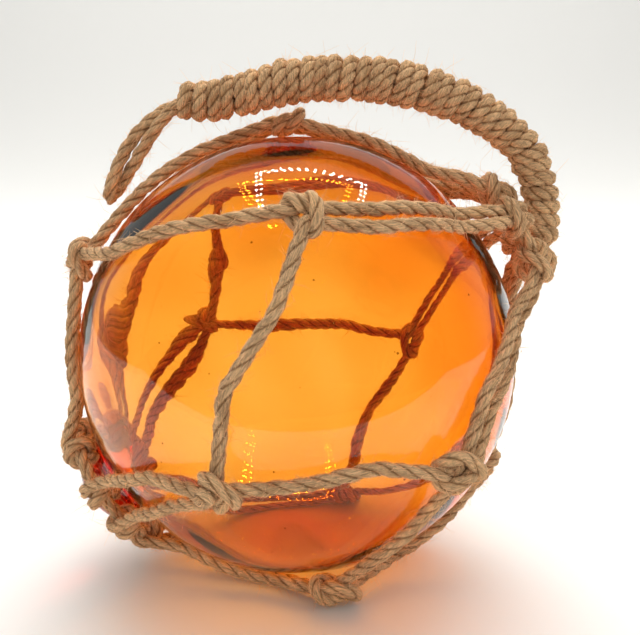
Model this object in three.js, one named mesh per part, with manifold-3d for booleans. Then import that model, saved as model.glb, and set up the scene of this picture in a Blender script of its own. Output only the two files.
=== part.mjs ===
// Glass float ball in a knotted jute net, with a whipped carrying handle.
// Millimetres, +Z up. The origin is on the floor, at the middle of the small flat spot on which the
// glass rests. The net's own axis leans over: its crown, with the handle, is up on the +X side, and
// the glass's seal button is low on the -X side.
import * as THREE from "three";
import { mergeVertices } from "three/addons/utils/BufferGeometryUtils.js";
import Module from "manifold-3d";

const wasm = await Module();
wasm.setup();

// ---------------------------------------------------------------- driving sizes
const BALL_RADIUS = 76;
const FLAT_RADIUS = 9; // the flat spot under the ball
const BALL_CENTRE_HEIGHT = Math.sqrt(BALL_RADIUS ** 2 - FLAT_RADIUS ** 2);

const BUTTON_RADIUS = 15; // the glass lump that seals the blowing hole
const BUTTON_HEIGHT = 13.5;

const CORD_RADIUS = 2.3;
const GAP = 0.3; // between pieces that touch
const SLACK = 0.1; // more room beside a faceted cord
const LYING_RADIUS = BALL_RADIUS + CORD_RADIUS + GAP + SLACK; // a cord's centre line on the glass
const CORD_SIDES = 5;
const CORD_STEP = 14; // along a cord that lies on the glass
const TIGHT_STEP = 7; // along a ring or the handle's cord

const NET_LEAN = 56; // degrees from upright to the net's axis, towards +X
const TAIL_POLAR = 175; // the seal button and the base ring sit a little off the net's axis
const TAIL_AZIMUTH = 278;

const CROWN_RING_RADIUS = 13;
const CROWN_RING_DISTANCE = 88; // from the ball's centre, along the ring's own axis
const CROWN_RING_POLAR = 4;
const BASE_RING_RADIUS = 21;
const BASE_RING_DISTANCE = 80.5;

const HITCH_RADIUS = 5.6; // outside a cord that is wound over a ring
const HITCH_SIDES = 6;
const CROWN_HITCH_ARC = 36; // degrees of the crown ring under one cord's two strands
const BASE_HITCH_ARC = 14;
const RING_CLEARANCE = 1; // round a ring's cord, inside what is wound over it

// Two-cord overhand knots: a long body with one fatter turn slanting round it.
const KNOT_HALF_LENGTH = 12.5;
const KNOT_HALF_WIDTH = 6;
const KNOT_HALF_DEPTH = 3.2;
const KNOT_TURN_HALF_WIDTH = 8.5;
const KNOT_TURN_HALF_LENGTH = 5;
const KNOT_TURN_HALF_DEPTH = 4.2;
const KNOT_TURN_SLANT = 28;
const KNOT_LIFT = 5.2; // from the glass to a knot's middle

const WHIP_TURNS = 34;
const WHIP_RIDGE = 0.8; // how far a turn of whipping cord stands out of the valley beside it
const WHIP_BORE_RADIUS = 5.4;
const WHIP_SIDES = 8;
const HANDLE_STRAND_OFFSET = 2.35; // from the handle's centre line to each of its two strands
const HANDLE_TWIST_PITCH = 90;
const HANDLE_TIP_BEND = 3.2; // how far the bend at the bare end runs on past the strands
const HANDLE_LAP = 0.3; // how far the turn round the ring runs into the strands, in cord steps

// Knots as [polar, azimuth] in degrees about the net's axis. Polar is measured from the crown.
// Azimuth 0 is the low side of the net, and 90 is +Y.
const FIRST_KNOTS = [
  [69, 301],
  [67, 236],
  [60, 166],
  [89, 134],
  [66, 65],
  [67, 0],
];
const SECOND_KNOTS = [
  [110, 332],
  [111, 269],
  [120, 194],
  [146, 156],
  [115, 103],
  [110, 27],
];
// Where each doubled cord hangs on the crown ring, and where the two strands that leave each second
// knot are tied to the base ring: first the strand on the knot's high azimuth side.
const CROWN_HITCHES = [311, 240, 182, 137, 88, 45];
const BASE_HITCHES = [
  [356, 330],
  [290, 250],
  [200, 168],
  [140, 118],
  [100, 80],
  [60, 26],
];
const HANDLE_ON_RING = 358;

// The handle's centre line as [x, z] from the ball's centre, in the plane y = 0.
const WHIPPED_LINE = [
  [84, 40.5],
  [84.5, 50],
  [81, 65],
  [71, 78],
  [51, 89],
  [27, 94.6],
  [2, 94.8],
  [-18, 90],
  [-28, 88],
  [-38, 87],
];
const BARE_LINE = [
  [-46, 82.5],
  [-53, 75],
  [-58.5, 66.5],
  [-63, 58],
];
// The whipping's outer radius along the handle, as [share of its length, radius].
const WHIP_RADII = [
  [0, 6.2],
  [0.12, 6.3],
  [0.3, 7],
  [0.5, 7.8],
  [0.75, 7.7],
  [0.95, 7.1],
  [1, 6.6],
];

const ROOM = 400; // the size of a block that is larger than the whole part

// ---------------------------------------------------------------- materials
const glass = new THREE.MeshStandardMaterial({ color: 0xe8842a, roughness: 0.05, metalness: 0 });
const jute = new THREE.MeshStandardMaterial({ color: 0xa88a5e, roughness: 0.95, metalness: 0 });
const whippingJute = new THREE.MeshStandardMaterial({ color: 0xb3946a, roughness: 0.95, metalness: 0 });

// ---------------------------------------------------------------- solids
function solid(geometry) {
  const bare = geometry.index ? geometry.toNonIndexed() : geometry.clone();
  bare.deleteAttribute("normal");
  bare.deleteAttribute("uv");
  const merged = mergeVertices(bare, 1e-4);
  return new wasm.Manifold(
    new wasm.Mesh({
      numProp: 3,
      vertProperties: merged.attributes.position.array,
      triVerts: new Uint32Array(merged.index.array),
    }),
  );
}

function union(solids) {
  return solids.reduce((sum, next) => sum.add(next));
}

function meshOf(name, body, material) {
  const { vertProperties, triVerts } = body.getMesh();
  const geometry = new THREE.BufferGeometry()
    .setAttribute("position", new THREE.BufferAttribute(vertProperties, 3))
    .setIndex(new THREE.BufferAttribute(triVerts, 1));
  geometry.computeVertexNormals();
  const mesh = new THREE.Mesh(geometry, material);
  mesh.name = name;
  return mesh;
}

// ---------------------------------------------------------------- places on the net
const radians = THREE.MathUtils.degToRad;

// A direction in the net's frame, whose Z runs from the ball's centre to the crown.
function direction(polar, azimuth) {
  return new THREE.Vector3(0, 0, 1)
    .applyAxisAngle(new THREE.Vector3(0, 1, 0), radians(polar))
    .applyAxisAngle(new THREE.Vector3(0, 0, 1), radians(azimuth));
}

// A ring round an axis through the ball's centre. point() gives its centre line at an azimuth.
class Ring {
  constructor(axis, distance, radius) {
    this.axis = axis;
    this.centre = axis.clone().multiplyScalar(distance);
    this.radius = radius;
    this.across = new THREE.Vector3(1, 0, 0).projectOnPlane(axis).normalize();
    this.along = new THREE.Vector3(0, 1, 0).projectOnPlane(axis).normalize();
  }

  point(azimuth) {
    return this.centre
      .clone()
      .addScaledVector(this.across, this.radius * Math.cos(radians(azimuth)))
      .addScaledVector(this.along, this.radius * Math.sin(radians(azimuth)));
  }

  arc(from, to) {
    const shares = [0, 0.25, 0.5, 0.75, 1];
    return new THREE.CatmullRomCurve3(shares.map((share) => this.point(from + (to - from) * share)));
  }

  // A whole round of cord with no ends, turned about the ring's axis.
  turned(cordRadius) {
    const section = roundSection(cordRadius, CORD_SIDES)
      .getPoints()
      .map((point) => new THREE.Vector2(this.radius + point.x, point.y));
    const steps = Math.round((2 * Math.PI * this.radius) / TIGHT_STEP);
    const geometry = new THREE.LatheGeometry([...section, section[0]], steps);
    const third = new THREE.Vector3().crossVectors(this.across, this.axis);
    geometry.applyMatrix4(new THREE.Matrix4().makeBasis(this.across, this.axis, third));
    return solid(geometry.translate(this.centre.x, this.centre.y, this.centre.z));
  }
}

const crownRing = new Ring(direction(CROWN_RING_POLAR, 0), CROWN_RING_DISTANCE, CROWN_RING_RADIUS);
const baseRing = new Ring(direction(TAIL_POLAR, TAIL_AZIMUTH), BASE_RING_DISTANCE, BASE_RING_RADIUS);

// ---------------------------------------------------------------- cords
function roundSection(radius, sides) {
  const corners = [...Array(sides).keys()].map((i) => {
    const turn = (2 * Math.PI * i) / sides;
    return new THREE.Vector2(radius * Math.cos(turn), radius * Math.sin(turn));
  });
  return new THREE.Shape(corners);
}

// A closed length of cord, or anything else with a round section, along a curve.
function tube(curve, stepLength, radius = CORD_RADIUS, sides = CORD_SIDES) {
  const steps = Math.max(2, Math.round(curve.getLength() / stepLength));
  return solid(new THREE.ExtrudeGeometry(roundSection(radius, sides), { steps, extrudePath: curve }));
}

// Points that lie on the glass from one direction to another, the short way round.
function overGlass(from, to, pieces) {
  const turn = new THREE.Quaternion().setFromUnitVectors(from, to);
  return [...Array(pieces + 1).keys()].map((i) =>
    from
      .clone()
      .applyQuaternion(new THREE.Quaternion().slerp(turn, i / pieces))
      .multiplyScalar(LYING_RADIUS),
  );
}

// A strand from a knot to a point on a ring: along the glass, then straight off it to the ring.
function strandToRing(knot, ringPoint) {
  const toRing = ringPoint.clone().normalize();
  const offGlass = Math.acos(LYING_RADIUS / ringPoint.length());
  const whole = knot.angleTo(toRing);
  const axis = new THREE.Vector3().crossVectors(knot, toRing).normalize();
  const leaving = knot.clone().applyAxisAngle(axis, whole - offGlass);
  const stops = overGlass(knot, leaving, 4);
  stops.push(stops.at(-1).clone().lerp(ringPoint, 0.5), ringPoint);
  return new THREE.CatmullRomCurve3(stops);
}

// The same direction, moved sideways over the glass towards higher azimuth by a length in mm.
function sideways(dir, length) {
  const east = new THREE.Vector3(-dir.y, dir.x, 0).normalize();
  return dir.clone().addScaledVector(east, length / LYING_RADIUS).normalize();
}

// A short stretch of cord wound over a ring. The ring's own room is cut out of it afterwards.
function hitch(ring, azimuth, arc) {
  return tube(ring.arc(azimuth - arc / 2, azimuth + arc / 2), TIGHT_STEP, HITCH_RADIUS, HITCH_SIDES);
}

function roomForRing(ring) {
  return ring.turned(CORD_RADIUS + RING_CLEARANCE);
}

// ---------------------------------------------------------------- knots
function ellipsoid(halfWidth, halfLength, halfDepth) {
  const ball = new THREE.SphereGeometry(1, 7, 4);
  ball.scale(halfWidth, halfLength, halfDepth);
  return ball;
}

// An overhand knot tied in two cords together. It lies on the glass with its length along the
// meridian.
function knot([polar, azimuth]) {
  const body = ellipsoid(KNOT_HALF_WIDTH, KNOT_HALF_LENGTH, KNOT_HALF_DEPTH);
  const turn = ellipsoid(KNOT_TURN_HALF_WIDTH, KNOT_TURN_HALF_LENGTH, KNOT_TURN_HALF_DEPTH);
  turn.rotateZ(radians(KNOT_TURN_SLANT));
  const up = direction(polar, azimuth);
  const south = direction(polar + 90, azimuth);
  const east = new THREE.Vector3().crossVectors(south, up);
  const place = new THREE.Matrix4()
    .makeBasis(east, south, up)
    .setPosition(up.clone().multiplyScalar(BALL_RADIUS + KNOT_LIFT));
  return union([solid(body), solid(turn)]).transform(place.elements);
}

// Half of all space, on one side of the meridian plane through a knot, clear of it by half a gap.
function besideMeridian(azimuth, side) {
  const half = new THREE.BoxGeometry(ROOM, ROOM, ROOM);
  half.translate(0, (side * (ROOM + GAP)) / 2, 0);
  half.rotateZ(radians(azimuth));
  return solid(half);
}

// ---------------------------------------------------------------- the glass
function glassProfile() {
  const points = [new THREE.Vector2(0, -BALL_CENTRE_HEIGHT), new THREE.Vector2(FLAT_RADIUS, -BALL_CENTRE_HEIGHT)];
  const first = Math.asin(FLAT_RADIUS / BALL_RADIUS);
  const pieces = 18;
  for (let i = 1; i < pieces; i++) {
    const turn = first + ((Math.PI - first) * i) / pieces;
    points.push(new THREE.Vector2(BALL_RADIUS * Math.sin(turn), -BALL_RADIUS * Math.cos(turn)));
  }
  points.push(new THREE.Vector2(0, BALL_RADIUS));
  return points;
}

// The seal button: a squat dome with full shoulders that grows out of the glass, its axis along Y.
function buttonProfile() {
  const root = BALL_RADIUS - 6; // inside the ball
  const points = [new THREE.Vector2(0, root)];
  for (const turn of [0, 18, 36, 54, 72]) {
    const across = BUTTON_RADIUS * Math.cos(radians(turn)) ** 0.6;
    const up = (BALL_RADIUS + BUTTON_HEIGHT - root) * Math.sin(radians(turn)) ** 0.7;
    points.push(new THREE.Vector2(across, root + up));
  }
  points.push(new THREE.Vector2(0, BALL_RADIUS + BUTTON_HEIGHT));
  return points;
}

function glassBall(netTurn) {
  const ball = new THREE.LatheGeometry(glassProfile(), 30);
  ball.rotateX(Math.PI / 2);
  const button = new THREE.LatheGeometry(buttonProfile(), 16);
  const outward = direction(TAIL_POLAR, TAIL_AZIMUTH).applyMatrix4(netTurn);
  button.applyQuaternion(new THREE.Quaternion().setFromUnitVectors(new THREE.Vector3(0, 1, 0), outward));
  return solid(ball).add(solid(button));
}

// ---------------------------------------------------------------- the six net cords
// Each cord hangs on the crown ring by its middle. Its two strands are knotted together, part, are
// each knotted to a neighbour's strand, and end on the base ring. A second knot is shared by two
// cords, so each has the half on its own side.
function netCord(index) {
  const next = (index + 1) % FIRST_KNOTS.length;
  const first = direction(...FIRST_KNOTS[index]);
  const parts = [hitch(crownRing, CROWN_HITCHES[index], CROWN_HITCH_ARC), knot(FIRST_KNOTS[index])];
  for (const side of [1, -1]) {
    const knotIndex = side > 0 ? index : next;
    const [polar, azimuth] = SECOND_KNOTS[knotIndex];
    const second = direction(polar, azimuth);
    const onCrown = crownRing.point(CROWN_HITCHES[index] + (side * CROWN_HITCH_ARC) / 4);
    parts.push(tube(strandToRing(sideways(first, side * CORD_RADIUS), onCrown), CORD_STEP));

    // The strand keeps to its own side of the knot that it shares.
    const shared = sideways(second, -side * (CORD_RADIUS + GAP + SLACK));
    parts.push(tube(new THREE.CatmullRomCurve3(overGlass(first, shared, 5)), CORD_STEP));

    const baseAzimuth = BASE_HITCHES[knotIndex][side > 0 ? 1 : 0];
    parts.push(tube(strandToRing(shared, baseRing.point(baseAzimuth)), CORD_STEP));
    parts.push(hitch(baseRing, baseAzimuth, BASE_HITCH_ARC));
    parts.push(knot(SECOND_KNOTS[knotIndex]).intersect(besideMeridian(azimuth, -side)));
  }
  return union(parts).subtract(roomForRing(crownRing)).subtract(roomForRing(baseRing));
}

// ---------------------------------------------------------------- the handle
function planeCurve(line) {
  return new THREE.CatmullRomCurve3(line.map(([x, z]) => new THREE.Vector3(x, 0, z)));
}

function alongTable(table, share) {
  const above = Math.max(1, table.findIndex(([at]) => at >= share));
  const [[at0, value0], [at1, value1]] = [table[above - 1], table[above]];
  return THREE.MathUtils.mapLinear(share, at0, at1, value0, value1);
}

// Whipping: a ribbed sleeve, turned straight and then bent along the handle's centre line.
function whipping() {
  const curve = planeCurve(WHIPPED_LINE);
  const length = curve.getLength();
  const profile = [];
  for (let i = 0; i <= 2 * WHIP_TURNS; i++) {
    const share = i / (2 * WHIP_TURNS);
    const ridge = i % 2 ? 0 : -WHIP_RIDGE;
    profile.push(new THREE.Vector2(alongTable(WHIP_RADII, share) + ridge, share * length));
  }
  const boreStops = 18;
  for (let i = boreStops; i >= 0; i--) {
    profile.push(new THREE.Vector2(WHIP_BORE_RADIUS, (i / boreStops) * length));
  }
  profile.push(profile[0]);
  const sleeve = new THREE.LatheGeometry(profile, WHIP_SIDES);
  const position = sleeve.attributes.position;
  const point = new THREE.Vector3();
  for (let i = 0; i < position.count; i++) {
    point.fromBufferAttribute(position, i);
    const share = THREE.MathUtils.clamp(point.y / length, 0, 1);
    const tangent = curve.getTangentAt(share);
    const inPlane = new THREE.Vector3(-tangent.z, 0, tangent.x);
    const bent = curve.getPointAt(share).addScaledVector(inPlane, point.x);
    bent.y = point.z;
    position.setXYZ(i, bent.x, bent.y, bent.z);
  }
  return sleeve;
}

// The handle's cord: one closed loop of cord. It goes round the crown ring, and its two strands run
// twisted together through the whipping to the bare end, where they join in a tight bend.
function handleCord(ringPoint) {
  const line = planeCurve([...WHIPPED_LINE, ...BARE_LINE]);
  const length = line.getLength();
  const steps = Math.round(length / CORD_STEP);
  const strands = [[], []];
  for (let i = 0; i <= steps; i++) {
    const share = i / steps;
    const tangent = line.getTangentAt(share);
    const inPlane = new THREE.Vector3(-tangent.z, 0, tangent.x);
    const turn = (2 * Math.PI * share * length) / HANDLE_TWIST_PITCH;
    strands.forEach((strand, k) => {
      const offset = (k ? -1 : 1) * HANDLE_STRAND_OFFSET;
      strand.push(
        line
          .getPointAt(share)
          .addScaledVector(inPlane, offset * Math.cos(turn))
          .addScaledVector(new THREE.Vector3(0, 1, 0), offset * Math.sin(turn)),
      );
    });
  }
  const tip = line.getPointAt(1).addScaledVector(line.getTangentAt(1), HANDLE_TIP_BEND);
  const round = 2 * CORD_RADIUS + RING_CLEARANCE; // from the crown ring's centre line to this cord's
  const underRing = [166, 270, 374].map((turn) =>
    ringPoint
      .clone()
      .add(new THREE.Vector3(round * Math.cos(radians(turn)), 0, round * Math.sin(radians(turn)))),
  );
  const alongHandle = [...strands[0], tip, ...strands[1].toReversed()];
  const [entry, exit] = strands.map((strand) => strand[0].clone().lerp(strand[1], HANDLE_LAP));
  const roundRing = [entry, strands[0][0], ...underRing.reverse(), strands[1][0], exit];
  const [handle, turn] = [alongHandle, roundRing].map(
    (stops) => new THREE.CatmullRomCurve3(stops, false, "centripetal"),
  );
  return tube(handle, TIGHT_STEP).add(tube(turn, TIGHT_STEP / 2));
}

// ---------------------------------------------------------------- assembly
const part = new THREE.Group();
const netTurn = new THREE.Matrix4().makeRotationY(radians(NET_LEAN));
const centre = new THREE.Vector3(0, 0, BALL_CENTRE_HEIGHT);

// Pieces that reach the floor are pressed flat on it. The floor is a block in the ball's own frame.
const block = new THREE.BoxGeometry(ROOM, ROOM, ROOM);
block.translate(0, 0, -ROOM / 2 - BALL_CENTRE_HEIGHT);
const floor = solid(block);

function place(name, body, material) {
  const mesh = meshOf(name, body, material);
  mesh.position.copy(centre);
  part.add(mesh);
}

place("glass_ball", glassBall(netTurn), glass);
for (const [name, ring] of [
  ["crown_ring", crownRing],
  ["base_ring", baseRing],
]) {
  place(name, ring.turned(CORD_RADIUS).transform(netTurn.elements), jute);
}
for (let index = 0; index < FIRST_KNOTS.length; index++) {
  place("net_cord_" + (index + 1), netCord(index).transform(netTurn.elements).subtract(floor), jute);
}
const ringPoint = crownRing.point(HANDLE_ON_RING).applyMatrix4(netTurn);
place("handle_cord", handleCord(ringPoint), jute);
place("handle_whipping", solid(whipping()), whippingJute);

export default part;
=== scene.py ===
import math

import bmesh
import bpy
import numpy as np
from mathutils import Matrix, Vector, noise


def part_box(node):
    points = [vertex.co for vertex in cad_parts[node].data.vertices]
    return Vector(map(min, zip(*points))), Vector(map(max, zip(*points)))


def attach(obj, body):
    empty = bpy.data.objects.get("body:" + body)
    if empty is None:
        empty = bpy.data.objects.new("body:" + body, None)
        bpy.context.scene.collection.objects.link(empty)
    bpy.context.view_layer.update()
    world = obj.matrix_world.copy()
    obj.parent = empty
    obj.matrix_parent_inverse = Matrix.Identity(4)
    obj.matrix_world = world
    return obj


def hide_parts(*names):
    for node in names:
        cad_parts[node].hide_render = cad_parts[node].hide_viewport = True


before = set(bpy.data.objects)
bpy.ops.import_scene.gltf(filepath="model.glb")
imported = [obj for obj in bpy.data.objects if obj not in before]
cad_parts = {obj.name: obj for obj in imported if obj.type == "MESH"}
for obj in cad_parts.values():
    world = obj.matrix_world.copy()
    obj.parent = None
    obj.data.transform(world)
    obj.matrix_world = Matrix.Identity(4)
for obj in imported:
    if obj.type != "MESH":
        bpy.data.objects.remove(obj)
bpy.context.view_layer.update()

# ------------------------------------------------------------------ sizes, as in the CAD part
FLAT_RADIUS = 0.009
BALL_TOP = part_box("glass_ball")[1][2]
BALL_RADIUS = (BALL_TOP**2 + FLAT_RADIUS**2) / (2 * BALL_TOP)
CENTRE = np.array([0.0, 0.0, BALL_TOP - BALL_RADIUS])

WALL = 0.0034  # glass, on average
WALL_SHIFT = (-0.0007, 0.0, -0.0005)  # the hollow sits off centre, so the wall is uneven
BUTTON_RADIUS = 0.015
BUTTON_HEIGHT = 0.0135

CORD_RADIUS = 0.0023
LAY_LENGTH = 0.018  # along the cord for one full turn of its strands
WHIP_LAY_LENGTH = 0.0105  # the same for the whipping
WHIP_PLUMP = 1.2  # the whipping cord's radius, in cord radii
CORD_SIDES = 24
CORD_STEP = 0.0012

NET_LEAN = math.radians(56)
TAIL = (175, 278)  # the seal button, as [polar, azimuth] about the net's axis
CROWN_RING = ((4, 0), 0.088, 0.013)  # axis, distance from the ball's centre, radius
BASE_RING = (TAIL, 0.0805, 0.021)

# Knots as [polar, azimuth] in degrees about the net's axis.
FIRST_KNOTS = [(69, 301), (67, 236), (60, 166), (89, 134), (66, 65), (67, 0)]
SECOND_KNOTS = [(110, 332), (111, 269), (120, 194), (146, 156), (115, 103), (110, 27)]
CROWN_HITCHES = [311, 240, 182, 137, 88, 45]
BASE_HITCHES = [(356, 330), (290, 250), (200, 168), (140, 118), (100, 80), (60, 26)]
HANDLE_ON_RING = 358  # where the handle's cord passes round the crown ring
# Knots that are tied the other way round.
MIRRORED_FIRSTS = (True, False, True, True, False, True)
MIRRORED_SECONDS = (False, True, False, False, True, False)

# The handle's centre line as [x, z] from the ball's centre, in the plane y = 0.
WHIPPED_LINE = [
    (0.084, 0.0405), (0.0845, 0.050), (0.081, 0.065), (0.071, 0.078), (0.051, 0.089),
    (0.027, 0.0946), (0.002, 0.0948), (-0.018, 0.090), (-0.028, 0.088), (-0.038, 0.087),
]
BARE_LINE = [(-0.046, 0.0825), (-0.053, 0.075), (-0.0585, 0.0665), (-0.063, 0.058)]
WHIP_TURNS = 34
# The whipping's outer radius, at shares of its length.
WHIP_SHARES = (0, 0.12, 0.3, 0.5, 0.75, 0.95, 1)
WHIP_RADII = (0.0062, 0.0063, 0.007, 0.0078, 0.0077, 0.0071, 0.0066)
WHIP_DEPTH = 1.12 * CORD_RADIUS  # from its outer radius in to its cord's centre line
WHIP_STEPS = 30  # a turn
WHIP_WANDER = 0.0022  # how far a turn usually strays, as a share of the whipping's length
WHIP_SWELL = 0.0003
HANDLE_STEP = 0.004
HANDLE_STRAND_OFFSET = 0.00235  # from the handle's centre line to that of a strand
HANDLE_TWIST_PITCH = 0.09  # along the handle for one full turn of its two strands
HANDLE_TIP_BEND = 0.0032  # from the end of the handle's centre line to the bend in its cord
UNDER_RING_RADIUS = 2.45 * CORD_RADIUS  # of the handle cord's bend round the crown ring
UNDER_RING_ANGLES = (166, 218, 270, 322, 374)

RANDOM = np.random.default_rng(7)

# ------------------------------------------------------------------ camera
CAMERA_PLACE = (0.00786, -0.33377, 0.16554)
CAMERA_TILT = math.radians(77)
CAMERA_WIDTH = math.radians(36.6)


def make_camera():
    data = bpy.data.cameras.new("camera")
    data.sensor_fit = "HORIZONTAL"
    data.angle = CAMERA_WIDTH
    data.clip_start = 0.01
    camera = bpy.data.objects.new("camera", data)
    camera.location = CAMERA_PLACE
    camera.rotation_euler = (CAMERA_TILT, 0, 0)
    bpy.context.scene.collection.objects.link(camera)
    bpy.context.scene.camera = camera


# ------------------------------------------------------------------ places on the net
def unit(vector):
    return vector / np.linalg.norm(vector)


def towards(polar, azimuth):
    """A direction from the ball's centre, given about the net's axis."""
    p, a = math.radians(polar), math.radians(azimuth)
    local = (math.sin(p) * math.cos(a), math.sin(p) * math.sin(a), math.cos(p))
    return np.array(Matrix.Rotation(NET_LEAN, 3, "Y") @ Vector(local))


class Ring:
    """A ring of cord round an axis through the ball's centre."""

    def __init__(self, axis, distance, radius):
        self.axis = towards(*axis)
        self.centre = CENTRE + self.axis * distance
        self.radius = radius
        net_x, net_y = towards(90, 0), towards(90, 90)
        self.across = unit(net_x - self.axis * (net_x @ self.axis))
        self.along = unit(net_y - self.axis * (net_y @ self.axis))

    def outward(self, azimuth):
        a = math.radians(azimuth)
        return self.across * math.cos(a) + self.along * math.sin(a)

    def point(self, azimuth):
        return self.centre + self.outward(azimuth) * self.radius

    def loop(self):
        return np.array([self.point(azimuth) for azimuth in range(0, 360, 15)])


crown_ring = Ring(*CROWN_RING)
base_ring = Ring(*BASE_RING)


# ------------------------------------------------------------------ cord paths
def evenly(points, spacing, closed=False):
    """The same path with its points evenly spaced."""
    points = np.asarray(points)
    if closed:
        points = np.vstack([points, points[:1]])
    steps = np.linalg.norm(np.diff(points, axis=0), axis=1)
    along = np.concatenate([[0], np.cumsum(steps)])
    count = max(3, round(along[-1] / spacing))
    at = np.linspace(0, along[-1], count + 1)
    even = np.column_stack([np.interp(at, along, points[:, k]) for k in range(3)])
    return even[:-1] if closed else even


def smooth(points, spacing, closed=False):
    """Evenly spaced points on a smooth curve through the given ones."""
    points = np.asarray(points, float)
    if closed:
        points = np.vstack([points[-1:], points, points[:2]])
    else:
        points = np.vstack([2 * points[0] - points[1], points, 2 * points[-1] - points[-2]])
    t = np.linspace(0, 1, 16, endpoint=False)[:, None]
    pieces = [
        0.5 * (2 * b + (c - a) * t + (2 * a - 5 * b + 4 * c - d) * t**2 + (3 * b - a - 3 * c + d) * t**3)
        for a, b, c, d in zip(points, points[1:], points[2:], points[3:])
    ]
    if not closed:
        pieces.append(points[-2:-1])
    return evenly(np.vstack(pieces), spacing, closed)


def over_glass(start, end, pieces=12):
    """A path that hugs the glass between two points on or above it. The lift goes evenly."""
    a, b = start - CENTRE, end - CENTRE
    reach_a, reach_b = np.linalg.norm(a), np.linalg.norm(b)
    angle = math.acos(np.clip(unit(a) @ unit(b), -1, 1))
    path = []
    for share in np.linspace(0, 1, pieces + 1):
        mixed = (math.sin((1 - share) * angle) * unit(a) + math.sin(share * angle) * unit(b))
        path.append(CENTRE + unit(mixed) * (reach_a + (reach_b - reach_a) * share))
    return np.array(path)


SAG = 0.07  # about how far a slack cord dips towards the glass, as a share of its length


def rise_to(glass_point, high_point, pieces=12):
    """A path along the glass that leaves it for a point above it, with a little sag."""
    high = high_point - CENTRE
    reach = np.linalg.norm(high)
    lying = BALL_RADIUS + CORD_RADIUS
    a, b = unit(glass_point - CENTRE), unit(high)
    whole = math.acos(np.clip(a @ b, -1, 1))
    leave = max(whole - math.acos(min(1, lying / reach)), 0.2 * whole)
    axis = Vector(np.cross(a, b)).normalized()
    leaving = CENTRE + lying * np.array(Matrix.Rotation(leave, 3, axis) @ Vector(a))
    share = np.linspace(0, 1, pieces, endpoint=False)[1:, None]
    sag = SAG * (whole - leave) * reach * np.sin(math.pi * share) * 0.5 * (a + b)
    rising = leaving + share * (high_point - leaving) - sag
    return np.vstack([over_glass(glass_point, leaving, pieces), rising])


# ------------------------------------------------------------------ knots
# Cords are drawn tight in small pulls. After each pull, cords that touch push each other away.
TOUCH = 1.66 * CORD_RADIUS  # cords touch when their centre lines are nearer than this
SELF_GAP = 3.2 * CORD_RADIUS  # along one cord, points nearer than this never push each other
PUSHES = 2  # after each pull
PUSH = 0.4  # how far each of two touching points moves, as a share of what they overlap
LONGEST_PUSH = 0.0006
LONGEST_PULL = 0.0001
PULLS_TO_RESPACE = 20  # after so many pulls, the points are spaced evenly again
PRESSED = 0.95 * CORD_RADIUS  # the least distance from a centre line to the glass or the floor
DRAW_STEP = 0.0016
KNOT_PULLS, KNOT_PULL = 420, 2.0
HITCH_PULLS, HITCH_PULL = 60, 0.6
EASINGS = 3
KNOT_REACH = 0.024  # from a knot's middle to where its cords are held while it is drawn tight
PAIR_OFFSET = 1.1 * CORD_RADIUS  # from between two cords side by side to either centre line
LOOSE = 0.0056  # what the curve of a loose knot is scaled by
LOW, HIGH = 1.05 * CORD_RADIUS, 3.3 * CORD_RADIUS  # over the glass, under and over a crossing
# Along an overhand knot, where it crosses itself and whether it passes high or low there.
CROSSINGS = (-1.93, -1.73, -0.52, 0.52, 1.73, 1.93)
HEIGHTS = (LOW, HIGH, LOW, HIGH, LOW, HIGH)


def loose_overhand(offset):
    """One of two cords side by side in a loose overhand knot: [sideways, ahead, height]."""
    t = np.linspace(-2, 2, 61)
    middle = np.column_stack([t**4 - 4 * t**2 + 1.6, t**3 - 3 * t, np.zeros_like(t)]) * LOOSE
    heading = np.gradient(middle[:, :2], axis=0)
    heading /= np.linalg.norm(heading, axis=1)[:, None]
    middle[:, 0] += heading[:, 1] * offset
    middle[:, 1] -= heading[:, 0] * offset
    middle[:, 2] = np.interp(t, CROSSINGS, HEIGHTS)
    return middle


def tie_pair(place, sources, targets, mirrored):
    """Two cords knotted together at a place on the net, and drawn tight. Each comes from its source
    and leaves for its target. The first of the pair is the one on the high azimuth side."""
    up = towards(*place)

    def heading_to(point):
        return unit((point - CENTRE) - up * ((point - CENTRE) @ up))

    comes = [heading_to(point) for point in sources]
    leaves = [heading_to(point) for point in targets]
    ahead = unit(sum(leaves) - sum(comes))
    side = np.cross(up, ahead)
    strands = []
    for k, sign in enumerate((1, -1)):
        offset = sign * PAIR_OFFSET
        middle = loose_overhand(-offset if mirrored else offset)
        if mirrored:
            middle[:, 0] *= -1
        ends = []
        for toward, turn in ((comes[k], 1), (leaves[k], -1)):
            along = np.array([toward @ side, toward @ ahead])
            ends.append(KNOT_REACH * along + turn * offset * np.array([-along[1], along[0]]))
        path = np.vstack([
            [*ends[0], LOW], [*(0.8 * ends[0]), LOW], middle, [*(0.8 * ends[1]), LOW], [*ends[1], LOW],
        ])
        over = up * BALL_RADIUS + path[:, :1] * side + path[:, 1:2] * ahead
        over /= np.linalg.norm(over, axis=1)[:, None]
        strands.append(smooth(CENTRE + over * (BALL_RADIUS + path[:, 2:3]), DRAW_STEP))
    return draw_tight(strands, KNOT_PULLS, KNOT_PULL)


def off_the_glass(points, margin):
    """Pushes points out of the glass and up from the floor, in place."""
    away = points - CENTRE
    reach = np.linalg.norm(away, axis=1)
    low = reach < BALL_RADIUS + margin
    points[low] = CENTRE + away[low] * ((BALL_RADIUS + margin) / reach[low])[:, None]
    points[:, 2] = np.maximum(points[:, 2], margin)


def capped(moves, longest):
    size = np.linalg.norm(moves, axis=1)
    return moves * (np.minimum(size, longest) / (size + 1e-12))[:, None]


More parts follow.
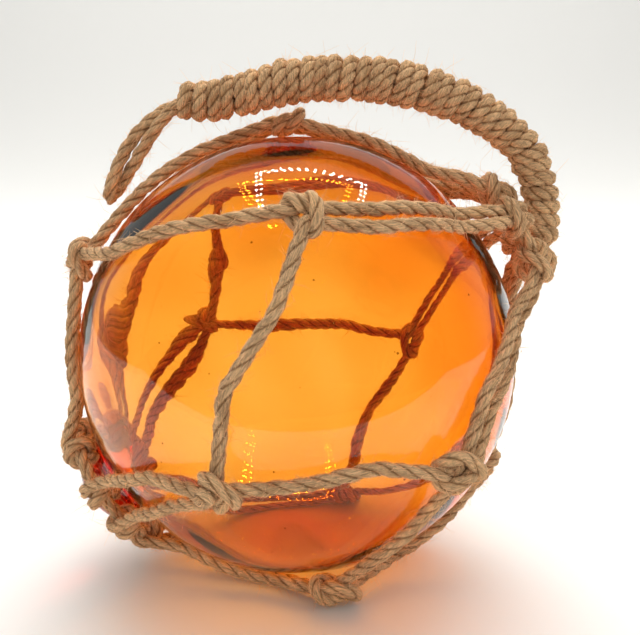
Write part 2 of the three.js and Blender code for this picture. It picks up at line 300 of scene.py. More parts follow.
def draw_tight(strands, rounds, pull, still=None):
    """Pulls cords tight between their held ends. Cords that touch each other, the still cord or the
    glass are pushed apart, but nothing makes sure that they end up clear of each other."""
    still = np.empty((0, 3)) if still is None else still
    nearest = round(SELF_GAP / DRAW_STEP)
    for turn in range(rounds):
        if turn % PULLS_TO_RESPACE == 0:
            strands = [evenly(strand, DRAW_STEP) for strand in strands]
            ends = np.cumsum([0] + [len(strand) for strand in strands])
            points = np.vstack(strands)
            order = np.arange(len(points))
            owner = np.searchsorted(ends, order, side="right")
            apart = owner[:, None] != owner[None, :]
            apart |= abs(order[:, None] - order[None, :]) > nearest
            apart = np.hstack([apart, np.ones((len(points), len(still)), bool)])
            held = np.concatenate([ends[:-1], ends[1:] - 1])
            free = np.setdiff1d(order, held)
            stiff = np.eye(len(points))
            stiff[free, free] += 2 * pull
            stiff[free, free - 1] -= pull
            stiff[free, free + 1] -= pull
            drawn = np.linalg.inv(stiff)
        points = points + capped(drawn @ points - points, LONGEST_PULL)
        for _ in range(PUSHES):
            gap = points[:, None] - np.vstack([points, still])[None]
            distance = np.linalg.norm(gap, axis=2) + 1e-9
            push = np.where(apart & (distance < TOUCH), PUSH * (TOUCH - distance), 0)
            shove = (gap / distance[..., None] * push[..., None]).sum(axis=1)
            shove[held] = 0
            points = points + capped(shove, LONGEST_PUSH)
            off_the_glass(points, PRESSED)
        strands = [points[a:b] for a, b in zip(ends, ends[1:])]
    return strands


# ------------------------------------------------------------------ ties to the rings
HITCH_LEAN = math.radians(36)  # how steeply a cord runs down from the crown ring to the glass
# Half of a lark's head: [along the ring, out towards the knot, up], in cord radii.
LARKS_HEAD = [
    (1.05, 6.0, 0.6), (1.05, 3.0, 1.1), (1.05, 0.2, 2.0), (1.1, -1.9, 0.4), (1.5, -0.9, -1.8),
    (2.5, 1.3, -1.6), (2.9, 2.6, 0.6), (1.6, 2.9, 2.9), (0.0, 2.9, 3.4),
]


def larks_head(azimuth):
    """A cord's middle, hung on the crown ring. It starts on the high azimuth side."""
    outward = crown_ring.outward(azimuth)
    along = np.cross(crown_ring.axis, outward)
    lead = outward * math.cos(HITCH_LEAN) - crown_ring.axis * math.sin(HITCH_LEAN)
    up = outward * math.sin(HITCH_LEAN) + crown_ring.axis * math.cos(HITCH_LEAN)
    half = np.array(LARKS_HEAD)
    whole = np.vstack([half, half[-2::-1] * (-1, 1, 1)]) * CORD_RADIUS
    points = crown_ring.point(azimuth) + whole @ np.array([along, lead, up])
    return smooth(points, DRAW_STEP)


WRAP_RADIUS = 1.8 * CORD_RADIUS  # from the base ring's centre line to that of a cord wound on it
WRAP_TURNS = 1.6
WRAP_POINTS = 20  # a turn
WRAP_STEP = 12.5  # degrees of the base ring from one turn to the next
FIRST_TURN = math.radians(20)  # where a wrap starts: 0 is outward, and 90 is away from the ball


def base_wrap(azimuth):
    """A net cord's end, wound round the base ring."""
    path = []
    for share in np.linspace(0, 1, round(WRAP_TURNS * WRAP_POINTS)):
        where = azimuth + share * WRAP_TURNS * WRAP_STEP
        turn = FIRST_TURN + share * WRAP_TURNS * 2 * math.pi
        outward = base_ring.outward(where)
        around = outward * math.cos(turn) + base_ring.axis * math.sin(turn)
        path.append(base_ring.point(where) + around * WRAP_RADIUS)
    return np.array(path)


# ------------------------------------------------------------------ the six net cords
def on_glass(place):
    return CENTRE + towards(*place) * BALL_RADIUS


def route_net():
    """The six net cords' paths, each from one end on the base ring to the other."""
    count = len(FIRST_KNOTS)
    ring = smooth(crown_ring.loop(), DRAW_STEP, closed=True)
    heads = draw_tight([larks_head(azimuth) for azimuth in CROWN_HITCHES], HITCH_PULLS, HITCH_PULL, ring)
    wraps = [[base_wrap(azimuth) for azimuth in pair] for pair in BASE_HITCHES]
    first_glass = [on_glass(place) for place in FIRST_KNOTS]
    second_glass = [on_glass(place) for place in SECOND_KNOTS]
    firsts, seconds = {}, {}
    for i in range(count):
        following, previous = (i + 1) % count, (i - 1) % count
        firsts[i, 1], firsts[i, -1] = tie_pair(
            FIRST_KNOTS[i], (heads[i][0], heads[i][-1]),
            (second_glass[i], second_glass[following]), MIRRORED_FIRSTS[i],
        )
        # A second knot holds this cord, which comes in on the low azimuth side, and the previous one.
        seconds[previous, -1], seconds[i, 1] = tie_pair(
            SECOND_KNOTS[i], (first_glass[previous], first_glass[i]),
            (wraps[i][0][0], wraps[i][1][0]), MIRRORED_SECONDS[i],
        )

    cords = []
    for i in range(count):
        legs = []
        for side, head in ((1, heads[i][0]), (-1, heads[i][-1])):
            first, second = firsts[i, side], seconds[i, side]
            wrap = wraps[i][1] if side > 0 else wraps[(i + 1) % count][0]
            down = rise_to(first[0], head)[::-1]
            between = over_glass(first[-1], second[0])[1:-1]
            to_base = rise_to(second[-1], wrap[0])[1:]
            legs.append(np.vstack([down, first[1:], between, second, to_base, wrap]))
        whole = np.vstack([legs[0][::-1], heads[i][1:-1], legs[1]])
        cords.append(ease(evenly(whole, CORD_STEP), EASINGS))
    return cords


def ease(path, rounds):
    """Takes the last kinks out of a path."""
    for _ in range(rounds):
        path[1:-1] += 0.5 * (0.5 * (path[:-2] + path[2:]) - path[1:-1])
    off_the_glass(path, PRESSED)
    return path


# ------------------------------------------------------------------ the handle
def in_plane(line):
    return np.array([(x, 0, z) for x, z in line]) + CENTRE


def across_in_plane(line):
    """In the plane y = 0, the direction across a line at each of its points."""
    heading = np.gradient(line, axis=0)
    heading /= np.linalg.norm(heading, axis=1)[:, None]
    return np.column_stack([-heading[:, 2], heading[:, 1], heading[:, 0]])


def route_handle_cord():
    """The handle's closed loop of cord: two strands twisted together, joined at both ends."""
    line = smooth(in_plane(WHIPPED_LINE + BARE_LINE), HANDLE_STEP)
    across = across_in_plane(line)
    along = np.linspace(0, 1, len(line)) * HANDLE_STEP * (len(line) - 1)
    turn = (2 * math.pi / HANDLE_TWIST_PITCH * along)[:, None]
    sway = across * np.cos(turn) + np.array([0, 1, 0]) * np.sin(turn)
    out = line + HANDLE_STRAND_OFFSET * sway
    back = line - HANDLE_STRAND_OFFSET * sway
    tip = line[-1] + HANDLE_TIP_BEND * unit(line[-1] - line[-2])
    root = crown_ring.point(HANDLE_ON_RING)
    under_ring = [
        root + UNDER_RING_RADIUS * np.array([math.cos(a), 0, math.sin(a)])
        for a in map(math.radians, UNDER_RING_ANGLES)
    ]
    return smooth(np.vstack([out, [tip], back[::-1], under_ring]), CORD_STEP, closed=True)


def uneven(turns, per_turn, count):
    """A random value that changes along the whipping, so many times for each of its turns."""
    return np.interp(turns * per_turn, np.arange(count), RANDOM.normal(0, 1, count))


def route_whipping():
    """The whipping cord: close turns round the handle, a little uneven, with both ends drawn in."""
    line = smooth(in_plane(WHIPPED_LINE), 0.0005)
    across = across_in_plane(line)
    share = np.linspace(0, 1, WHIP_TURNS * WHIP_STEPS)
    wander = uneven(share * WHIP_TURNS, 1.7, 80)
    swell = uneven(share * WHIP_TURNS, 2.3, 100)
    at = np.clip((share + WHIP_WANDER * wander) * (len(line) - 1), 0, len(line) - 1)
    centre = np.column_stack([np.interp(at, np.arange(len(line)), line[:, k]) for k in range(3)])
    side = np.column_stack([np.interp(at, np.arange(len(line)), across[:, k]) for k in range(3)])
    reach = np.interp(share, WHIP_SHARES, WHIP_RADII) - WHIP_DEPTH + WHIP_SWELL * swell
    full = np.minimum(1, np.minimum(share, 1 - share) * WHIP_TURNS / 0.5)
    reach *= 0.72 + 0.28 * full
    turn = 2 * math.pi * WHIP_TURNS * share
    around = side * np.cos(turn)[:, None] + np.array([0, 1, 0]) * np.sin(turn)[:, None]
    return evenly(centre + around * reach[:, None], CORD_STEP)


# ------------------------------------------------------------------ laying up cord
LOBE_OFFSET = 0.37  # from the cord's centre to a strand's, in cord radii
LOBE_RADIUS = 0.63
LUMP_STEP = 0.006  # along the cord, from one lump of a strand to the next
LUMP = 0.04  # how far lumps and grain usually change the radius, as a share of it
GRAIN = 0.03
SKIN_GAP = 0.00008  # the least gap between a cord's skin and the ball or the floor
WELD = 1e-6


def strand_outline(turn):
    """The radius of a three-strand cord, in cord radii, at angles from one strand's crest."""
    off_crest = (turn + math.pi / 3) % (2 * math.pi / 3) - math.pi / 3
    across = LOBE_OFFSET * np.sin(off_crest)
    return LOBE_OFFSET * np.cos(off_crest) + np.sqrt(LOBE_RADIUS**2 - across**2)


def frames_along(path, closed):
    """Heading, side and other side at each point, with as little twist as the path allows."""
    if closed:
        heading = np.roll(path, -1, axis=0) - np.roll(path, 1, axis=0)
    else:
        heading = np.gradient(path, axis=0)
    heading /= np.linalg.norm(heading, axis=1)[:, None]
    side = np.empty_like(path)
    carried = np.cross(heading[0], (0.3, 0.9, 0.2))
    for i, ahead in enumerate(heading):
        carried = unit(carried - ahead * (carried @ ahead))
        side[i] = carried
    return heading, side, np.cross(heading, side)


def lay_cord(name, path, closed=False, plump=1.0, lay=LAY_LENGTH):
    """A three-strand cord along a path, as a mesh object."""
    heading, side, other = frames_along(path, closed)
    length = np.linalg.norm(np.diff(path, axis=0), axis=1).sum()
    rings = len(path)
    turns = 2 * math.pi * length / lay
    if closed:  # the strands have to meet themselves again
        carried = unit(side[-1] - heading[0] * (side[-1] @ heading[0]))
        slip = math.atan2(carried @ other[0], carried @ side[0])
        third = 2 * math.pi / 3
        turns = round(turns / third) * third - slip
        path, side, other = [np.vstack([a, a[:1]]) for a in (path, side, other)]
        side[-1] = carried
        other[-1] = np.cross(heading[0], carried)
        rings += 1

    bm = bmesh.new()
    bmesh.ops.create_grid(bm, x_segments=rings - 1, y_segments=CORD_SIDES, size=0.5)
    mesh = bpy.data.meshes.new(name)
    bm.to_mesh(mesh)
    flat = np.empty(len(mesh.vertices) * 3)
    mesh.vertices.foreach_get("co", flat)
    flat = flat.reshape(-1, 3)
    ring = np.rint((flat[:, 0] + 0.5) * (rings - 1)).astype(int)
    column = np.rint((flat[:, 1] + 0.5) * CORD_SIDES).astype(int)
    crest = 2 * math.pi * column / CORD_SIDES
    along = ring / (rings - 1)
    lumps = RANDOM.normal(0, 1, (3, int(length / LUMP_STEP) + 3))
    lobe = (np.rint(crest / (2 * math.pi / 3)).astype(int)) % 3
    lump = np.empty(len(ring))
    for k in range(3):
        mine = lobe == k
        lump[mine] = np.interp(along[mine] * length / LUMP_STEP, np.arange(lumps.shape[1]), lumps[k])
    if closed:  # lumps fade out where the cord meets itself
        lump *= np.minimum(1, 12 * np.minimum(along, 1 - along))
    outline = strand_outline(crest)
    turn = crest + along * turns
    grain = RANDOM.normal(0, 1, (rings, CORD_SIDES))[ring % (rings - closed), column % CORD_SIDES]
    reach = plump * CORD_RADIUS * outline * (1 + LUMP * lump + GRAIN * grain)
    around = side[ring] * np.cos(turn)[:, None] + other[ring] * np.sin(turn)[:, None]
    points = path[ring] + around * reach[:, None]
    off_the_glass(points, SKIN_GAP)
    mesh.vertices.foreach_set("co", points.ravel())

    place = mesh.attributes.new("cord_place", "FLOAT_VECTOR", "POINT")
    on_cord = np.column_stack([along * length, np.cos(turn) * reach, np.sin(turn) * reach])
    place.data.foreach_set("vector", on_cord.ravel())
    # How far down into a crease between strands each point lies; the cord finish paints shade there.
    crease = mesh.attributes.new("crease", "FLOAT", "POINT")
    crease.data.foreach_set("value", np.clip((1 - outline) / (1 - strand_outline(math.pi / 3)), 0, 1))

    bm.clear()
    bm.from_mesh(mesh)
    bmesh.ops.remove_doubles(bm, verts=bm.verts, dist=WELD)
    bmesh.ops.holes_fill(bm, edges=[e for e in bm.edges if e.is_boundary], sides=0)
    bmesh.ops.recalc_face_normals(bm, faces=bm.faces)
    for face in bm.faces:
        face.smooth = True
    bm.to_mesh(mesh)
    bm.free()
    piece = bpy.data.objects.new(name, mesh)
    bpy.context.scene.collection.objects.link(piece)
    return piece


# ------------------------------------------------------------------ loose fibres
FIBRE_RADIUS = 0.00006
FIBRE_SIDES = 3
LONGEST_FIBRE = 0.0065
SHORTEST_FIBRE = 0.0012
USUAL_EXTRA = 0.0012  # average length beyond the shortest
LONG_SHARE = 0.05  # of the fibres are longer still
LONG_EXTRA = 0.0035
FIBRES_PER_MM = 5.0  # of cord
WHIP_FIBRES_PER_MM = 6.0
ROOTS = (0.7, 0.95)  # how far out from a cord's centre line fibres start, in cord radii
RISE = (0.2, 1.0)  # how much of a fibre's heading is straight out of the cord,
LEAN = 1.1  # and usually along it,
STRAY = 0.35  # and in any direction
BEND = 0.5
BEND_BACK = 0.25  # towards the cord
TAPER = (1.0, 0.8, 0.35)
FIBRE_GAP = 0.0001  # the least distance from a fibre to the ball or the floor


def make_fibre_section():
    """The small triangle that every fibre is swept from."""
    section = bpy.data.curves.new("fibre_section", "CURVE")
    spline = section.splines.new("POLY")
    spline.points.add(FIBRE_SIDES - 1)
    spline.use_cyclic_u = True
    for point, turn in zip(spline.points, np.arange(FIBRE_SIDES) * 2 * math.pi / FIBRE_SIDES):
        point.co = (FIBRE_RADIUS * math.cos(turn), FIBRE_RADIUS * math.sin(turn), 0, 1)
    holder = bpy.data.objects.new("fibre_section", section)
    bpy.context.scene.collection.objects.link(holder)
    return holder


def raise_fibres(name, path, closed, per_mm):
    """Stray fibres that stand out of a cord: many short ones and a few long ones, all bent."""
    heading, side, other = frames_along(path, closed)
    count = int(len(path) * CORD_STEP * 1000 * per_mm)
    curve = bpy.data.curves.new(name, "CURVE")
    curve.dimensions = "3D"
    curve.bevel_mode = "OBJECT"
    curve.bevel_object = fibre_section
    curve.use_fill_caps = True
    for _ in range(count):
        at = RANDOM.integers(1, len(path) - 1)
        turn = RANDOM.uniform(0, 2 * math.pi)
        out = side[at] * math.cos(turn) + other[at] * math.sin(turn)
        lean = RANDOM.normal(0, LEAN)
        stray = RANDOM.normal(0, STRAY, 3)
        direction = unit(RANDOM.uniform(*RISE) * out + lean * heading[at] + stray)
        length = SHORTEST_FIBRE + RANDOM.exponential(USUAL_EXTRA)
        if RANDOM.random() < LONG_SHARE:
            length += RANDOM.exponential(LONG_EXTRA)
        length = min(length, LONGEST_FIBRE)
        bend = RANDOM.normal(0, BEND, 3) - BEND_BACK * out
        share = np.linspace(0, 1, 3)[:, None]
        root = path[at] + out * CORD_RADIUS * RANDOM.uniform(*ROOTS)
        points = root + length * (share * direction + share**2 * bend * 0.7)
        off_the_glass(points, FIBRE_GAP)
        spline = curve.splines.new("POLY")
        spline.points.add(2)
        spline.points.foreach_set("co", np.column_stack([points, np.ones(3)]).ravel())
        spline.points.foreach_set("radius", TAPER)
    holder = bpy.data.objects.new(name, curve)
    bpy.context.scene.collection.objects.link(holder)
    mesh = bpy.data.meshes.new_from_object(holder.evaluated_get(bpy.context.evaluated_depsgraph_get()))
    bpy.data.objects.remove(holder)
    bpy.data.curves.remove(curve)
    mesh.name = name
    piece = bpy.data.objects.new(name, mesh)
    bpy.context.scene.collection.objects.link(piece)
    return piece


# ------------------------------------------------------------------ the glass
GLASS_ROUND = 160
GLASS_RINGS = 120
BUTTON_RINGS = 26
GLASS_LIFT = 0.0003  # clearance under the flat spot
BUTTON_FOOT = 0.12  # radians, where the button's outline ends. Its tip is at a right angle
BUTTON_ROUNDNESS = (0.6, 0.7)  # across and along: 1 makes an ellipse, and less is squarer
BUTTON_NECK = 0.05  # radians of the ball left out where the button runs into it
OUTER_WAVES = (0.00025, 2.3)  # depth, and how closely they lie
INNER_WAVES = (0.0009, 2.9)
SEEDS = 60
SEED_SIZES = (0.00012, 0.00036)
SEED_DEPTHS = (0.35, 0.65)  # as shares of the wall


def glass_profile(outside):
    """Half an outline of the glass about the button's axis, as [across, along], button first."""
    if not outside:
        radius = BALL_RADIUS - WALL
        return [
            (radius * math.sin(a), radius * math.cos(a)) for a in np.linspace(0, math.pi, GLASS_RINGS)
        ]
    root = BALL_RADIUS * math.cos(math.asin(BUTTON_RADIUS / BALL_RADIUS))
    height = BALL_RADIUS + BUTTON_HEIGHT - root
    across, along = BUTTON_ROUNDNESS
    points = []
    for a in np.linspace(math.pi / 2, BUTTON_FOOT, BUTTON_RINGS):
        points.append((BUTTON_RADIUS * math.cos(a) ** across, root + height * math.sin(a) ** along))
    points[0] = (0.0, root + height)
    first = math.asin(BUTTON_RADIUS / BALL_RADIUS) + BUTTON_NECK
    for a in np.linspace(first, math.pi, GLASS_RINGS):
        points.append((BALL_RADIUS * math.sin(a), BALL_RADIUS * math.cos(a)))
    return points


def spun(profile, axis, centre):
    """A closed surface turned from half an outline about an axis through a centre."""
    bm = bmesh.new()
    verts = [bm.verts.new((across, 0, along)) for across, along in profile]
    edges = [bm.edges.new(pair) for pair in zip(verts, verts[1:])]
    bmesh.ops.spin(
        bm, geom=verts + edges, cent=(0, 0, 0), axis=(0, 0, 1), angle=2 * math.pi,
        steps=GLASS_ROUND, use_merge=True, use_duplicate=False,
    )
    bmesh.ops.remove_doubles(bm, verts=bm.verts, dist=WELD)
    turn = Vector((0, 0, 1)).rotation_difference(Vector(axis)).to_matrix().to_4x4()
    bmesh.ops.transform(bm, matrix=Matrix.Translation(Vector(centre)) @ turn, verts=bm.verts)
    bmesh.ops.recalc_face_normals(bm, faces=bm.faces)
    return bm


def ripple(bm, centre, depth, size):
    """Makes blown glass a little uneven."""
    for vert in bm.verts:
        out = (vert.co - Vector(centre)).normalized()
        vert.co += out * depth * noise.noise(out * size)


def add_seeds(bm):
    """Small bubbles inside the wall of the glass."""
    for _ in range(SEEDS):
        out = unit(RANDOM.normal(0, 1, 3))
        place = CENTRE + out * (BALL_RADIUS - WALL * RANDOM.uniform(*SEED_DEPTHS))
        size = RANDOM.uniform(*SEED_SIZES)
        made = bmesh.ops.create_icosphere(
            bm, subdivisions=2, radius=size, matrix=Matrix.Translation(Vector(place))
        )
        bmesh.ops.reverse_faces(bm, faces=list({f for v in made["verts"] for f in v.link_faces}))


def blow_glass():
    """The hollow float with its seal button. Its outer and inner surfaces are one mesh."""
    tail = towards(*TAIL)
    outer = spun(glass_profile(True), tail, CENTRE)
    ripple(outer, CENTRE, *OUTER_WAVES)
    for vert in outer.verts:
        vert.co.z = max(vert.co.z, GLASS_LIFT)
    hollow = CENTRE + np.array(WALL_SHIFT)
    inner = spun(glass_profile(False), tail, hollow)
    ripple(inner, hollow, *INNER_WAVES)
    bmesh.ops.reverse_faces(inner, faces=inner.faces)
    mesh = bpy.data.meshes.new("glass_shell")
    inner.to_mesh(mesh)
    outer.from_mesh(mesh)
    add_seeds(outer)
    for face in outer.faces:
        face.smooth = True
    outer.to_mesh(mesh)
    inner.free()
    outer.free()
    piece = bpy.data.objects.new("glass_shell", mesh)
    bpy.context.scene.collection.objects.link(piece)
    return piece


# ------------------------------------------------------------------ materials
class Finish:
    """A node material with a Principled shader, and short ways to add nodes to it."""

    def __init__(self, name):
        self.material = bpy.data.materials.new(name)
        self.material.use_nodes = True
        self.tree = self.material.node_tree
        self.shader = self.tree.nodes["Principled BSDF"]

    def node(self, kind, **values):
        made = self.tree.nodes.new(kind)
        for key, value in values.items():
            if key in made.inputs:
                made.inputs[key].default_value = value
            else:
                setattr(made, key, value)
        return made

    def link(self, source, target):
        self.tree.links.new(source, target)

    def set(self, **values):
        for key, value in values.items():
            self.shader.inputs[key.replace("_", " ")].default_value = value


def ramp(finish, source, stops):
    """A colour ramp fed by a factor."""
    made = finish.node("ShaderNodeValToRGB")
    for _ in stops[2:]:
        made.color_ramp.elements.new(0.5)
    for element, (place, colour) in zip(made.color_ramp.elements, stops):
        element.position = place
        element.color = (*colour, 1)
    finish.link(source, made.inputs["Fac"])
    return made.outputs["Color"]


def glass_finish():
    """Amber glass, coloured all through, so it is deeper where the eye looks through more of it."""
    finish = Finish("amber_glass")
    finish.set(Base_Color=(1, 1, 1, 1), Roughness=0.0, IOR=1.5, Transmission_Weight=1.0)
    place = finish.node("ShaderNodeTexCoord")
    waves = finish.node("ShaderNodeTexNoise", Scale=60.0, Detail=3.0)
    finish.link(place.outputs["Object"], waves.inputs["Vector"])
    bump = finish.node("ShaderNodeBump", Strength=0.01, Distance=0.001)
    finish.link(waves.outputs["Fac"], bump.inputs["Height"])
    finish.link(bump.outputs["Normal"], finish.shader.inputs["Normal"])
    body = finish.node("ShaderNodeVolumeAbsorption", Color=(0.985, 0.71, 0.03, 1), Density=545.0)
    finish.link(body.outputs["Volume"], finish.tree.nodes["Material Output"].inputs["Volume"])
    return finish.material


def jute_finish(name, light):
    """Laid jute cord. Fibres run along the cord, and painted shade darkens the creases between its
    strands.
    """
    finish = Finish(name)
    finish.set(Roughness=0.9, Sheen_Weight=0.08, Sheen_Roughness=0.5, Specular_IOR_Level=0.1)
    place = finish.node("ShaderNodeAttribute", attribute_name="cord_place")
    crease = finish.node("ShaderNodeAttribute", attribute_name="crease")
    stretch = finish.node("ShaderNodeMapping", Scale=(260.0, 2600.0, 2600.0))
    finish.link(place.outputs["Vector"], stretch.inputs["Vector"])
    fibres = finish.node("ShaderNodeTexNoise", Scale=1.0, Detail=3.0, Roughness=0.6)
    finish.link(stretch.outputs["Vector"], fibres.inputs["Vector"])
    tone = ramp(finish, fibres.outputs["Fac"], [
        (0.28, tuple(0.36 * c for c in light)), (0.48, tuple(0.78 * c for c in light)),
        (0.72, tuple(1.25 * c for c in light)),
    ])
    patch_map = finish.node("ShaderNodeMapping", Scale=(90.0, 300.0, 300.0))
    finish.link(place.outputs["Vector"], patch_map.inputs["Vector"])
    patches = finish.node("ShaderNodeTexNoise", Scale=1.0, Detail=2.0)
    finish.link(patch_map.outputs["Vector"], patches.inputs["Vector"])
    weather = ramp(finish, patches.outputs["Fac"], [
        (0.3, (0.72, 0.66, 0.6)), (0.55, (1.0, 1.0, 1.0)), (0.75, (1.12, 1.08, 1.0)),
    ])
    mixed = finish.node("ShaderNodeMix", data_type="RGBA", blend_type="MULTIPLY")
    mixed.inputs["Factor"].default_value = 1.0
    finish.link(tone, mixed.inputs["A"])
    finish.link(weather, mixed.inputs["B"])
    # Painted shade: the colour is darkened in the creases between strands, where shadow would fall.
    painted_crease_shade = ramp(finish, crease.outputs["Fac"], [
        (0.45, (1.0, 1.0, 1.0)), (1.0, (0.4, 0.32, 0.26)),
    ])
    deep = finish.node("ShaderNodeMix", data_type="RGBA", blend_type="MULTIPLY")
    deep.inputs["Factor"].default_value = 1.0
    finish.link(mixed.outputs["Result"], deep.inputs["A"])
    finish.link(painted_crease_shade, deep.inputs["B"])
    finish.link(deep.outputs["Result"], finish.shader.inputs["Base Color"])
    bump = finish.node("ShaderNodeBump", Strength=0.9, Distance=0.0004)
    finish.link(fibres.outputs["Fac"], bump.inputs["Height"])
    finish.link(bump.outputs["Normal"], finish.shader.inputs["Normal"])
    return finish.material


def fibre_finish(name, light):
    finish = Finish(name)
    finish.set(Roughness=0.8, Sheen_Weight=0.2, Specular_IOR_Level=0.3)
    place = finish.node("ShaderNodeTexCoord")
    spots = finish.node("ShaderNodeTexNoise", Scale=400.0, Detail=1.0)
    finish.link(place.outputs["Object"], spots.inputs["Vector"])
    tone = ramp(finish, spots.outputs["Fac"], [
        (0.3, tuple(0.7 * c for c in light)), (0.7, tuple(1.15 * c for c in light)),
    ])
    finish.link(tone, finish.shader.inputs["Base Color"])
    return finish.material


def plain_finish(name, colour):
    finish = Finish(name)
    finish.set(Base_Color=(*colour, 1), Roughness=0.9, Specular_IOR_Level=0.2)
    return finish.material


# ------------------------------------------------------------------ studio
SWEEP_WIDE = 1.1  # to either side
SWEEP_FRONT = -0.24
SWEEP_TURN = 1.1  # where the floor starts to curve up
SWEEP_RADIUS = 0.8
SWEEP_HIGH = 0.8
FLOOR_COLOUR = (0.86, 0.86, 0.84)
PANEL_HEIGHT = 0.45  # above the ball's centre
PANEL = (-0.115, 0.19, -0.13, 0.2)  # the light panel's left, right, front and back edges
ABOVE_PANEL = 0.01  # from the light panel up to the lamp over it
LAMP_GLOW = 140.0
DOT_RADIUS = 0.0038
DOT_ROW_GAP = 0.014
DOTS_ACROSS, DOTS_DEEP = 14, 12
# Light from the world depends on the direction. Each aim is followed by the light about it: the
# nearness to the aim at which its level starts and stops changing, and the levels there.
BEHIND = (0, 1, 0)
ROOM = (0.15, 0.6, 0.09, 0.45)
HIGH_BEHIND = (0.0, 0.766, 0.643)
SOFT_LIGHT = (0.8, 0.93, 0.58, 4.4)
# Lamps as name, place, width, depth and watts.
LAMPS = [
    ("overhead", (0.035, 0.05, CENTRE[2] + PANEL_HEIGHT + ABOVE_PANEL), 0.5, 0.5, 0.9),
    ("over_backdrop", (0.0, 1.1, 0.85), 1.8, 1.7, 6.5),
]


def make_sweep():
    """A pale floor that curves up into a backdrop."""
    line = [(SWEEP_FRONT, 0.0), (SWEEP_TURN, 0.0)]
    for a in np.linspace(0, math.pi / 2, 25)[1:]:
        line.append((SWEEP_TURN + SWEEP_RADIUS * math.sin(a), SWEEP_RADIUS * (1 - math.cos(a))))
    line.append((SWEEP_TURN + SWEEP_RADIUS, SWEEP_HIGH))
    bm = bmesh.new()
    verts = [bm.verts.new((-SWEEP_WIDE, y, z)) for y, z in line]
    edges = [bm.edges.new(pair) for pair in zip(verts, verts[1:])]
    pulled = bmesh.ops.extrude_edge_only(bm, edges=edges)["geom"]
    moved = [g for g in pulled if isinstance(g, bmesh.types.BMVert)]
    bmesh.ops.translate(bm, vec=(2 * SWEEP_WIDE, 0, 0), verts=moved)
    bmesh.ops.recalc_face_normals(bm, faces=bm.faces)
    for face in bm.faces:
        face.smooth = True
    mesh = bpy.data.meshes.new("sweep")
    bm.to_mesh(mesh)
    bm.free()
    sweep = bpy.data.objects.new("sweep", mesh)
    bpy.context.scene.collection.objects.link(sweep)
    mesh.materials.append(plain_finish("pale_floor", FLOOR_COLOUR))


def make_light_panel():
    """Rows of small lamps round three sides of a panel overhead, there to be mirrored in the glass."""
    left, right, front, back = PANEL
    places = []
    for row in (0, 1):
        inset = DOT_ROW_GAP * row
        places += [(x, back - inset) for x in np.linspace(left + inset, right - inset, DOTS_ACROSS)]
        places += [(left + inset, y) for y in np.linspace(front, back, DOTS_DEEP)]
        places += [(right - inset, y) for y in np.linspace(front, back, DOTS_DEEP)]
    bm = bmesh.new()
    for x, y in places:
        spot = Matrix.Translation((x, y, CENTRE[2] + PANEL_HEIGHT)) @ Matrix.Rotation(math.pi, 4, "X")
        bmesh.ops.create_circle(bm, cap_ends=True, segments=8, radius=DOT_RADIUS, matrix=spot)
    mesh = bpy.data.meshes.new("light_panel")
    bm.to_mesh(mesh)
    bm.free()
    lamps = bpy.data.objects.new("light_panel", mesh)
    bpy.context.scene.collection.objects.link(lamps)
    finish = Finish("lamp_glow")
    glow = finish.node("ShaderNodeEmission", Color=(1.0, 0.95, 0.86, 1))
    level = finish.node("ShaderNodeMath", operation="MULTIPLY")
    level.inputs[1].default_value = LAMP_GLOW
    finish.link(from_path(finish.tree, "Diffuse Depth", "LESS_THAN"), level.inputs[0])
    finish.link(level.outputs["Value"], glow.inputs["Strength"])
    out = finish.tree.nodes["Material Output"]
    finish.link(glow.outputs["Emission"], out.inputs["Surface"])
    finish.material.cycles.emission_sampling = "NONE"
    mesh.materials.append(finish.material)
    lamps.visible_diffuse = False
    lamps.visible_shadow = False


def from_path(tree, counter, operation):
    """1 where a light path has, or hasn't yet, met something of a kind, else 0."""
    path = tree.nodes.new("ShaderNodeLightPath")
    test = tree.nodes.new("ShaderNodeMath")
    test.operation = operation
    test.inputs[1].default_value = 0.5
    tree.links.new(path.outputs[counter], test.inputs[0])
    return test.outputs["Value"]


def by_direction(tree, aim, stops):
    """A grey level that depends on how near a direction is to an aim."""
    facing = tree.nodes.new("ShaderNodeTexCoord")
    near = tree.nodes.new("ShaderNodeVectorMath")
    near.operation = "DOT_PRODUCT"
    near.inputs[1].default_value = aim
    tree.links.new(facing.outputs["Generated"], near.inputs[0])
    level = tree.nodes.new("ShaderNodeMapRange")
    level.interpolation_type = "SMOOTHSTEP"
    for socket, value in zip(("From Min", "From Max", "To Min", "To Max"), stops):
        level.inputs[socket].default_value = value
    tree.links.new(near.outputs["Value"], level.inputs["Value"])
    return level.outputs["Result"]


def make_world():
    """Soft light, strongest from high up behind. The glass mirrors a room that is dark in front."""
    world = bpy.data.worlds.new("studio")
    bpy.context.scene.world = world
    world.use_nodes = True
    world.cycles.sampling_method = "NONE"
    tree = world.node_tree
    pick = tree.nodes.new("ShaderNodeMix")
    tree.links.new(from_path(tree, "Diffuse Depth", "GREATER_THAN"), pick.inputs["Factor"])
    tree.links.new(by_direction(tree, BEHIND, ROOM), pick.inputs["A"])
    tree.links.new(by_direction(tree, HIGH_BEHIND, SOFT_LIGHT), pick.inputs["B"])
    tree.links.new(pick.outputs["Result"], tree.nodes["Background"].inputs["Strength"])
    tree.nodes["Background"].inputs["Color"].default_value = (1.0, 0.99, 0.97, 1)


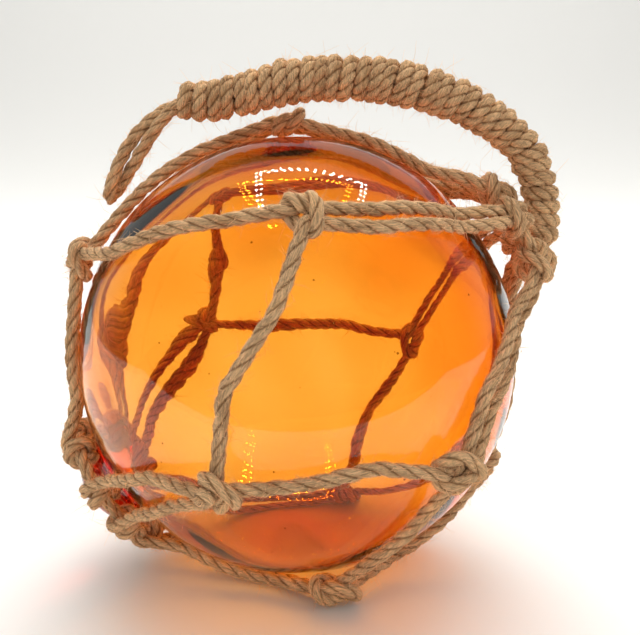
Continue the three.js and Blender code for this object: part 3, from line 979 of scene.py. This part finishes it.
def make_lamp(name, place, wide, deep, watts):
    """A soft lamp that faces down. It isn't mirrored in the glass, or seen through it."""
    data = bpy.data.lights.new(name, "AREA")
    data.shape = "RECTANGLE"
    data.size = wide
    data.size_y = deep
    data.energy = watts
    data.color = (1.0, 0.98, 0.95)
    lamp = bpy.data.objects.new(name, data)
    lamp.location = place
    lamp.visible_camera = False
    lamp.visible_glossy = False
    lamp.visible_transmission = False
    bpy.context.scene.collection.objects.link(lamp)


def make_lights():
    make_world()
    for lamp in LAMPS:
        make_lamp(*lamp)
    bpy.context.scene.view_settings.view_transform = "Standard"
    bpy.context.scene.cycles.sample_clamp_indirect = 0
    bpy.context.scene.cycles.blur_glossy = 0


# ------------------------------------------------------------------ making it all
JUTE = (0.84, 0.535, 0.285)
WHIP_PALER, FIBRES_PALER = 1.08, 1.35

make_camera()
make_lights()
make_sweep()
make_light_panel()

net_jute = jute_finish("net_jute_cord", JUTE)
whip_jute = jute_finish("whipping_jute_cord", tuple(WHIP_PALER * c for c in JUTE))
stray_jute = fibre_finish("stray_fibres", tuple(FIBRES_PALER * c for c in JUTE))


def finish_piece(piece, material, stands_for=()):
    piece.data.materials.append(material)
    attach(piece, "root")
    if stands_for:
        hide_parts(*stands_for)


def make_cord(name, path, jute, closed=False, per_mm=FIBRES_PER_MM, plump=1.0, lay=LAY_LENGTH):
    finish_piece(lay_cord(name + "_cord", path, closed, plump, lay), jute, [name])
    finish_piece(raise_fibres(name + "_fibres", path, closed, per_mm), stray_jute)


glass = blow_glass()
finish_piece(glass, glass_finish(), ["glass_ball"])

fibre_section = make_fibre_section()
for number, path in enumerate(route_net(), 1):
    make_cord(f"net_cord_{number}", path, net_jute)
for name, ring in (("crown_ring", crown_ring), ("base_ring", base_ring)):
    make_cord(name, smooth(ring.loop(), CORD_STEP, closed=True), net_jute, closed=True)
make_cord("handle_cord", route_handle_cord(), net_jute, closed=True)
make_cord(
    "handle_whipping", route_whipping(), whip_jute,
    per_mm=WHIP_FIBRES_PER_MM, plump=WHIP_PLUMP, lay=WHIP_LAY_LENGTH,
)
bpy.data.objects.remove(fibre_section)
